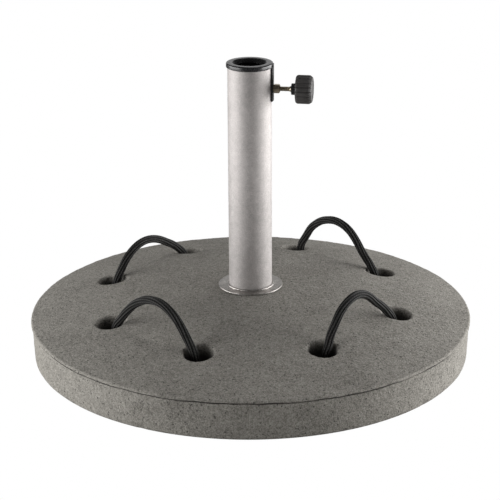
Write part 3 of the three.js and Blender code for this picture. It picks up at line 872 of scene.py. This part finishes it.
def foot_pads(material):
    for i, node in enumerate(FOOT_NODES):
        low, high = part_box(node)
        centre = (low + high) / 2
        radius = (high.x - low.x) / 2
        groove = [(radius * share, 0.9 * MM * dip) for share, dip in
                  ((0.36, 0), (0.40, 1), (0.46, 1), (0.50, 0), (0.66, 0), (0.70, 1), (0.76, 1), (0.80, 0))]
        profile = outline([(0, 0), *groove, (radius, 0, 0.9 * MM),
                           (radius, high.z, 0.3 * MM), (0, high.z)])
        mesh = moved(turned(profile, 64), Matrix.Translation((centre.x, centre.y, 0)))
        add_piece(f"rubber_foot_{i + 1}", node, mesh, material)


# ---- tube, flange and fixings

TUBE_LOW, TUBE_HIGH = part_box("pole_tube")
TUBE_RADIUS = TUBE_HIGH.x
TUBE_BORE = TUBE_RADIUS - 1.5 * MM
NUT_SHANK = 3.7 * MM
NUT_BORE = 3.3 * MM


def clamp_matrix():
    """The clamp's own frame: +Z outwards along the screw from the tube's axis, X down."""
    joint = joints["clamp_knob_turn"]
    out = -Vector(joint["axis"]).normalized()
    down = Vector((0, 0, -1))
    across = out.cross(down)
    turn = Matrix((down, across, out)).transposed().to_4x4()
    return Matrix.Translation(joint["pos_m"]) @ turn


def rod(radius, low, high):
    return turned([(0, low), (radius, low), (radius, high), (0, high)], 48)


def ring(inner, outer, low, high, roundings, segments):
    """A turned ring, with a rounding in millimetres for each corner, from the inner low one outwards."""
    corners = zip((inner, outer, outer, inner), (low, low, high, high), (r * MM for r in roundings))
    return turned(outline(list(corners), 3, closed=True), segments)


def pole_tube(material):
    tube = ring(TUBE_BORE, TUBE_RADIUS, TUBE_LOW.z, TUBE_HIGH.z, (0.3, 0.3, 0.4, 0.4), 160)
    hole = moved(rod(NUT_SHANK + GAP, TUBE_BORE - 4 * MM, TUBE_RADIUS + 4 * MM), clamp_matrix())
    tube = combined(tube, [hole], "DIFFERENCE")
    add_piece("pole_tube_steel", "pole_tube", tube, material)


def base_flange(material):
    low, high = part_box("base_flange")
    top = low.z + 1.8 * MM
    inner = TUBE_RADIUS + GAP
    collar = 29.3 * MM
    profile = outline([
        (inner, low.z, 0.2 * MM), (high.x, low.z, 0.4 * MM), (high.x, top, 0.8 * MM),
        (collar, top, 0.5 * MM), (collar, high.z, 0.6 * MM), (inner, high.z, 0.3 * MM),
    ], closed=True)
    add_piece("base_flange_steel", "base_flange", turned(profile, 160), material)


def foot_plug(material):
    low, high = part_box("tube_foot_plug")
    outer = high.x
    cup, lead, floor = 17.3 * MM, 8 * MM, 90.5 * MM
    thread, thread_end = 6.3 * MM, 63.5 * MM
    profile = outline([
        (0, thread_end), (thread, thread_end), (thread, low.z, 0.3 * MM), (outer, low.z, 1 * MM),
        (outer, high.z, 1.5 * MM), (outer - 2.5 * MM, high.z, 0.5 * MM),
        (cup, high.z - lead, 2 * MM), (cup, floor, 0.8 * MM), (0, floor),
    ], 4)
    add_piece("tube_foot_plug_cast", "tube_foot_plug", turned(profile), material)


def hexagonal(flats):
    """Cuts a turned body to six sides, so that a radius as large as the flats reaches the corners."""
    def radius_at(radius, height, angles):
        turn = (angles + math.pi / 6) % (math.pi / 3) - math.pi / 6
        return np.minimum(radius, flats / 2 / np.cos(turn))
    return radius_at


def fixing_bolt(material):
    head_low, end = (corner.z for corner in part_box("fixing_bolt"))
    head_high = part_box("spring_washer")[0].z - GAP
    flats, shank = 19 * MM, 5.9 * MM
    head = turned([
        (0, head_low), (flats * 0.46, head_low), (flats, head_low + 1 * MM),
        (flats, head_high), (0, head_high),
    ], 96, hexagonal(flats))
    steps, pitch = 220, 1.75 * MM
    low = head_high - 0.5 * MM
    profile = [(0, low)] + [(shank, low + (end - low) * i / steps) for i in range(steps + 1)]
    profile += [(shank - 1 * MM, end + 0.01 * MM), (0, end + 0.01 * MM)]
    body = turned(profile, 32, threaded(pitch, head_high + 12 * MM, 0.9 * MM))
    mesh = combined(head, [body], "UNION")
    add_piece("fixing_bolt_steel", "fixing_bolt", mesh, material)


def threaded(pitch, start, depth, finish=1.0):
    """Cuts a thread into a turned rod above a height."""
    def radius_at(radius, height, angles):
        if height < start or height > finish:
            return np.full(len(angles), radius)
        phase = (height / pitch - angles / TAU) % 1
        return radius - depth * (1 - np.abs(2 * phase - 1))
    return radius_at


def washers(material):
    low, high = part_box("fixing_washer")
    mesh = ring(BOLT_HOLE_RADIUS, high.x, low.z, high.z, (0.3, 0.6, 0.3, 0.3), 96)
    add_piece("large_washer_steel", "fixing_washer", mesh, material)
    low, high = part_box("spring_washer")
    mesh = ring(6.3 * MM, high.x, low.z, high.z, (0.3, 0.3, 0.3, 0.3), 64)
    place = Matrix.Translation((high.x / 2 + 2 * MM, 0, (low.z + high.z) / 2))
    split = block((high.x, 1.2 * MM, 8 * MM), 0, place @ Matrix.Rotation(0.4, 4, "X"))
    mesh = combined(mesh, [split], "DIFFERENCE")
    add_piece("split_washer_steel", "spring_washer", mesh, material)


# ---- top insert and clamp

INSERT_LOW, INSERT_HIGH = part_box("top_insert")
POLE_BORE = 17.5 * MM
SLEEVE_OUTER = 20 * MM
RIM_RADIUS = 28.3 * MM
RIM_LOW = TUBE_HIGH.z + GAP
LEAD_IN = 20.8 * MM
PAD_WAY = 4.5 * MM
TONGUE_INNER = TUBE_RADIUS + GAP
TONGUE_OUTER = 29.4 * MM
TONGUE_HALF = math.radians(10.5)
TONGUE_LOW = 324 * MM
TONGUE_ROUND = 1.1 * MM


def tongue(inner, low, high, azimuth):
    """A wall bent round the tube, with its outer edges rounded off."""
    steps = 22
    shell = Shell()
    rows = []
    section = outline([(inner, low), (TONGUE_OUTER, low, TONGUE_ROUND),
                       (TONGUE_OUTER, high, TONGUE_ROUND * 0.3), (inner, high)], closed=True)
    for i in range(steps + 1):
        share = 2 * i / steps - 1
        turn = azimuth + TONGUE_HALF * math.copysign(1 - (1 - abs(share)) ** 1.6, share)
        from_edge = TONGUE_HALF * TONGUE_OUTER * (1 - abs(turn - azimuth) / TONGUE_HALF)
        thickness = 1 - max(0.0, 1 - from_edge / TONGUE_ROUND) ** 2 * 0.55
        radii = [inner + (radius - inner) * thickness for radius, _ in section]
        rows.append(shell.loop((radius * math.cos(turn), radius * math.sin(turn), height)
                               for radius, (_, height) in zip(radii, section)))
    shell.chain(rows)
    shell.faces += [tuple(rows[0]), tuple(reversed(rows[-1]))]
    return shell.mesh()


def top_insert(material):
    clamp = joints["clamp_knob_turn"]
    azimuth = math.atan2(-clamp["axis"][1], -clamp["axis"][0])
    top = INSERT_HIGH.z
    profile = outline([
        (POLE_BORE, INSERT_LOW.z, 0.8 * MM), (SLEEVE_OUTER, INSERT_LOW.z, 0.8 * MM),
        (SLEEVE_OUTER, TUBE_HIGH.z - 2 * MM, 0.8 * MM), (TUBE_BORE - GAP, TUBE_HIGH.z - 2 * MM, 0.4 * MM),
        (TUBE_BORE - GAP, RIM_LOW, 0), (RIM_RADIUS, RIM_LOW, 0.6 * MM),
        (RIM_RADIUS, top, 1.5 * MM), (LEAD_IN, top, 0.9 * MM), (POLE_BORE, top - 4.6 * MM, 2.5 * MM),
    ], 6, closed=True)
    sleeve = turned(profile, 144)
    root = POLE_BORE + 1 * MM
    rib = TUBE_BORE - 0.55 * MM - root
    boss = TUBE_BORE - 1.6 * MM - root
    height = TUBE_HIGH.z - 1 * MM - INSERT_LOW.z
    parts = []
    for i in range(4):
        turn = Matrix.Rotation(azimuth + (i + 0.5) * TAU / 4, 4, "Z")
        place = Matrix.Translation((root + rib / 2, 0, INSERT_LOW.z + height / 2))
        parts.append(block((rib, 2.5 * MM, height), 0.4 * MM, turn @ place))
    place = Matrix.Translation((root + boss / 2, 0, clamp["pos_m"][2]))
    parts.append(block((boss, 16 * MM, 24 * MM), 1 * MM, Matrix.Rotation(azimuth, 4, "Z") @ place))
    parts.append(tongue(TONGUE_INNER, TONGUE_LOW, RIM_LOW + 1 * MM, azimuth))
    parts.append(tongue(RIM_RADIUS - 3 * MM, RIM_LOW - 0.2 * MM, top - 1.2 * MM, azimuth))
    body = combined(sleeve, parts, "UNION")
    matrix = clamp_matrix()
    holes = [moved(rod(PAD_WAY, POLE_BORE - 4 * MM, TUBE_BORE), matrix),
             moved(rod(NUT_SHANK + GAP, TUBE_BORE, TONGUE_OUTER + 2 * MM), matrix)]
    body = combined(body, holes, "DIFFERENCE")
    add_piece("top_insert_moulding", "top_insert", body, material, 30)


def clamp_nut(material):
    start, inner, outer, flats = TUBE_BORE + 0.1 * MM, TONGUE_OUTER + GAP, 36.8 * MM, 10 * MM
    profile = [
        (NUT_BORE, start), (NUT_SHANK, start), (NUT_SHANK, inner),
        (flats * 0.48, inner), (flats, inner + 0.5 * MM), (flats, outer - 0.9 * MM),
        (flats * 0.46, outer), (NUT_BORE + 0.5 * MM, outer), (NUT_BORE, outer - 0.5 * MM),
    ]
    mesh = moved(turned(profile, 96, hexagonal(flats)), clamp_matrix())
    add_piece("clamp_nut_plated", "clamp_nut", mesh, material, 25)


SCREW_END = 62 * MM


def clamp_screw(material):
    start, shoulder = 22.15 * MM, 48.6 * MM
    radius, shoulder_radius = 2.95 * MM, 3.3 * MM
    steps = 190
    last = shoulder - 1 * MM
    profile = [(0, start), (radius - 0.5 * MM, start)]
    profile += [(radius, start + 0.5 * MM + (last - start - 0.5 * MM) * i / steps) for i in range(steps + 1)]
    profile += [(radius - 0.4 * MM, last + 0.2 * MM), (radius - 0.4 * MM, shoulder - 0.2 * MM),
                (shoulder_radius - 0.2 * MM, shoulder), (shoulder_radius, shoulder + 0.2 * MM),
                (shoulder_radius, SCREW_END), (0, SCREW_END)]
    thread = threaded(1 * MM, start + 0.6 * MM, 0.55 * MM, last - 0.2 * MM)
    mesh = moved(turned(profile, 40, thread), clamp_matrix())
    add_piece("clamp_screw_plated", "clamp_screw", mesh, material, 50, body="clamp_knob")


def pressure_pad(material):
    tip, radius = 17.8 * MM, 4 * MM
    profile = outline([(0, tip), (radius, tip, 0.8 * MM), (radius, tip + 4 * MM, 0.3 * MM),
                       (0, tip + 4 * MM)])
    mesh = moved(turned(profile, 48), clamp_matrix())
    add_piece("pressure_pad_moulding", "pressure_pad", mesh, material, body="clamp_feed")


GRIP_START = 56.5 * MM
GRIP_LENGTH = 19.8 * MM
GRIP_RADIUS = 17.3 * MM
GRIP_FLUTES = 18
FLUTE_DEPTH = 1.1 * MM


def hub_piece(material):
    start, seat, end = 50.8 * MM, 57.4 * MM, 68 * MM
    radius, spigot, bore, bore_end = 7 * MM, 9 * MM, 3.65 * MM, SCREW_END + GAP
    profile = outline([
        (0, bore_end), (bore, bore_end), (bore, start, 0.3 * MM), (radius, start, 0.8 * MM),
        (radius, seat), (spigot, seat, 0.3 * MM), (spigot, end, 0.5 * MM), (0, end),
    ], 4)
    mesh = moved(turned(profile, 72), clamp_matrix())
    add_piece("knob_hub_moulding", "knob_hub", mesh, material, body="clamp_knob")


def grip_piece(material):
    """The grip: narrow flutes along it, a soft edge at each end and a slightly hollow cap."""
    hub, spigot, seat, socket_end = 7.35 * MM, 9.35 * MM, 57.05 * MM, 68.35 * MM
    end = GRIP_START + GRIP_LENGTH
    corners = [
        (0, socket_end), (spigot, socket_end), (spigot, seat), (hub, seat), (hub, GRIP_START, 0.3 * MM),
        (GRIP_RADIUS - 1.2 * MM, GRIP_START, 1.0 * MM), (GRIP_RADIUS, GRIP_START + 2.2 * MM, 1.6 * MM),
        (GRIP_RADIUS, end - 3.2 * MM, 2.4 * MM), (GRIP_RADIUS - 2.4 * MM, end, 1.8 * MM),
        (GRIP_RADIUS - 6.0 * MM, end, 0.5 * MM), (GRIP_RADIUS - 6.6 * MM, end - 0.7 * MM, 0.5 * MM),
        (0, end - 0.5 * MM),
    ]

    def fluted(radius, height, angles):
        depth = FLUTE_DEPTH * np.clip((radius - 13 * MM) / (3.5 * MM), 0, 1)
        turn = np.abs((angles * GRIP_FLUTES / TAU) % 1 - 0.5) * 2
        return radius - depth * np.clip((turn - 0.66) / 0.34, 0, 1) ** 1.4

    mesh = turned(outline(corners), GRIP_FLUTES * 24, fluted)
    mesh = moved(mesh, clamp_matrix() @ Matrix.Rotation(math.radians(8), 4, "Z"))
    add_piece("knob_grip_moulding", "knob_grip", mesh, material, 30, body="clamp_knob")


# ---- floor and light

FLOOR_HALF = 4
WORLD_LIGHT = 0.058
LIGHT_AIM = Vector((0, 0, 0.12))


def soft_light(name, place, width, height, power):
    data = bpy.data.lights.new(name, "AREA")
    data.shape = "RECTANGLE"
    data.size, data.size_y = width, height
    data.energy = power
    light = placed(name, data)
    light.location = place
    light.rotation_euler = (LIGHT_AIM - Vector(place)).to_track_quat("-Z", "Y").to_euler()
    light.visible_camera = False


def seen_white(tree, kind, others, surface):
    """White where the camera sees it directly, so that the backdrop has no horizon."""
    path = tree.nodes.new("ShaderNodeLightPath")
    white = tree.nodes.new(kind)
    white.inputs["Color"].default_value = (1, 1, 1, 1)
    mix = tree.nodes.new("ShaderNodeMixShader")
    tree.links.new(path.outputs["Is Camera Ray"], mix.inputs[0])
    tree.links.new(others, mix.inputs[1])
    tree.links.new(white.outputs[0], mix.inputs[2])
    tree.links.new(mix.outputs[0], surface)


def pale_floor():
    shell = Shell()
    corners = [(-1, -1), (1, -1), (1, 1), (-1, 1)]
    shell.faces = [tuple(shell.loop((FLOOR_HALF * x, FLOOR_HALF * y, 0) for x, y in corners))]
    mesh = bpy.data.meshes.new("floor")
    mesh.from_pydata(shell.points, [], shell.faces)
    paper = Graph("floor_paper", Roughness=0.9)
    fibre = paper.scaled(paper.noise(0.02, 3), 0.3, 0.7)
    paper.colour(paper.blended(fibre, (0.44, 0.44, 0.43, 1), (0.48, 0.48, 0.47, 1)))
    surface = paper.tree.nodes["Material Output"].inputs["Surface"]
    seen_white(paper.tree, "ShaderNodeEmission", paper.shader.outputs[0], surface)
    add_object("floor", mesh, paper.material)


def studio_world():
    world = bpy.data.worlds.new("studio")
    world.use_nodes = True
    scene.world = world
    tree = world.node_tree
    dim = tree.nodes["Background"]
    dim.inputs["Color"].default_value = (1, 1, 1, 1)
    dim.inputs["Strength"].default_value = WORLD_LIGHT
    seen_white(tree, "ShaderNodeBackground", dim.outputs[0], tree.nodes["World Output"].inputs["Surface"])


def studio_lights():
    soft_light("left_softbox", (-1.35, -0.24, 0.32), 1.9, 0.62, 24)
    soft_light("right_softbox", (1.30, 0.14, 0.30), 1.9, 0.60, 28.5)
    soft_light("back_panel", (0, 2.6, 0.9), 3.0, 1.2, 9)
    soft_light("top_light", (0.3, 0.5, 1.6), 0.5, 0.5, 2.4)
    scene.view_settings.view_transform = "Standard"


# ---- assembly

make_camera()
rope_finish = rope_material()
for handle_name in HANDLES:
    rope_handle(handle_name, rope_finish)
concrete_disc(concrete_material())
pole_tube(steel_material("stainless", (0.44, 0.417, 0.407, 1), (0.68, 0.65, 0.637, 1), 0.67, 0.77))
base_flange(steel_material("stainless_ring", (0.28, 0.264, 0.247, 1), (0.84, 0.80, 0.77, 1),
                           0.34, 0.46, 0.06))
zinc = zinc_material()
foot_plug(zinc)
fixing_bolt(zinc)
washers(zinc)
black = moulded_material("black_plastic", (0.012, 0.012, 0.013, 1), (0.030, 0.030, 0.031, 1),
                         0.18, 0.34, 0.0014, 0.00009)
top_insert(black)
clamp_nut(zinc)
clamp_screw(zinc)
pressure_pad(black)
hub_piece(black)
grip_piece(moulded_material("grey_plastic", (0.042, 0.039, 0.038, 1), (0.078, 0.073, 0.071, 1),
                            0.45, 0.62, 0.0011, 0.00012))
foot_pads(moulded_material("rubber", (0.014, 0.014, 0.014, 1), (0.030, 0.030, 0.030, 1),
                           0.7, 0.92, 0.0008, 0.0001))
pale_floor()
studio_world()
studio_lights()
